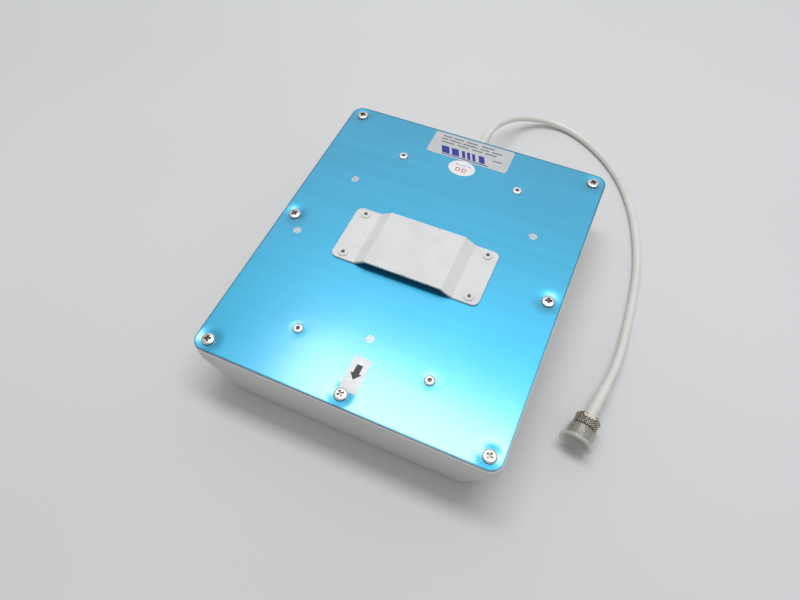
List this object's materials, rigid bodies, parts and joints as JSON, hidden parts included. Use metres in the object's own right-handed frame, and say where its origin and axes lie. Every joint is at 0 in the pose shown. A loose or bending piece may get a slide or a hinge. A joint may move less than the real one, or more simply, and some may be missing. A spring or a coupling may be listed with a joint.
{
  "type": "panel antenna",
  "caption": "Flat rectangular panel antenna of a security gate: plastic cover, riveted and screwed back plate with a hanging bridge, and a short coaxial lead ending in a capped jack.",
  "frame": {"origin": "centre of the radome's front face, which the panel lies on", "axes": "+Z is the outward normal of the back plate, +Y runs along the long side towards the cable outlet, +X along the short side towards the lying cable"},
  "size_m": [0.2242, 0.2945, 0.05],
  "materials": {
    "radome_plastic": "fine moulded texture, light grey",
    "black_rubber": "matt",
    "sheet_aluminium": "rolled sheet",
    "blue_film": "thin blue protective film, metallic from the sheet below",
    "white_powder_coat": "matt powder coat",
    "zinc_steel": "zinc plated",
    "mandrel_steel": "dull broken ends",
    "white_rivet": "white painted head",
    "standoff_steel": "zinc plated, flush in the sheet",
    "circuit_board": "glass laminate with green lacquer",
    "nylon": "natural nylon",
    "copper_tin": "tinned copper",
    "resistor_ceramic": "ceramic chip",
    "brass_contact": "plain brass",
    "cable_jacket": "smooth off-white jacket",
    "ptfe": "white fluoropolymer",
    "boot_rubber": "flexible off-white boot",
    "sleeve_plastic": "off-white heat-shrink",
    "nickel": "nickel plated, machined",
    "cap_plastic": "translucent polyethylene",
    "silver_label": "silver printed film",
    "white_label": "white printed film"
  },
  "bodies": {
    "panel": {"radome": "radome_plastic", "rim_gasket": "black_rubber", "back_plate": "sheet_aluminium", "protective_film": "blue_film", "mounting_bracket": "white_powder_coat", "board_rivets": "zinc_steel", "board_rivet_mandrels": "mandrel_steel", "bracket_rivets": "white_rivet", "bracket_rivet_mandrels": "mandrel_steel", "cover_screws": "zinc_steel", "clinch_standoffs": "standoff_steel", "feed_board": "circuit_board", "board_spacers": "nylon", "feed_trace": "copper_tin", "load_resistor": "resistor_ceramic", "feed_probes": "brass_contact", "feed_terminal": "brass_contact", "driven_patch": "sheet_aluminium", "patch_spacers": "nylon", "patch_screws": "nylon", "inner_coax": "cable_jacket", "coax_core": "ptfe", "coax_clip": "nylon", "clip_screw": "zinc_steel", "strain_relief_boot": "boot_rubber", "coax_cable": "cable_jacket", "heat_shrink_sleeve": "sleeve_plastic", "crimp_ferrule": "nickel", "clamp_nut": "nickel", "connector_body": "nickel", "connector_insulator": "ptfe", "centre_contact": "brass_contact", "rating_label": "silver_label", "inspection_sticker": "white_label", "arrow_label": "white_label"},
    "cap": {"dust_cap": "cap_plastic"}
  },
  "joints": [
    {"name": "cap_pull", "type": "slide", "parent": "panel", "child": "cap", "axis": [-0.1823, -0.9832, 0], "range_m": [0, 0.02]}
  ]
}
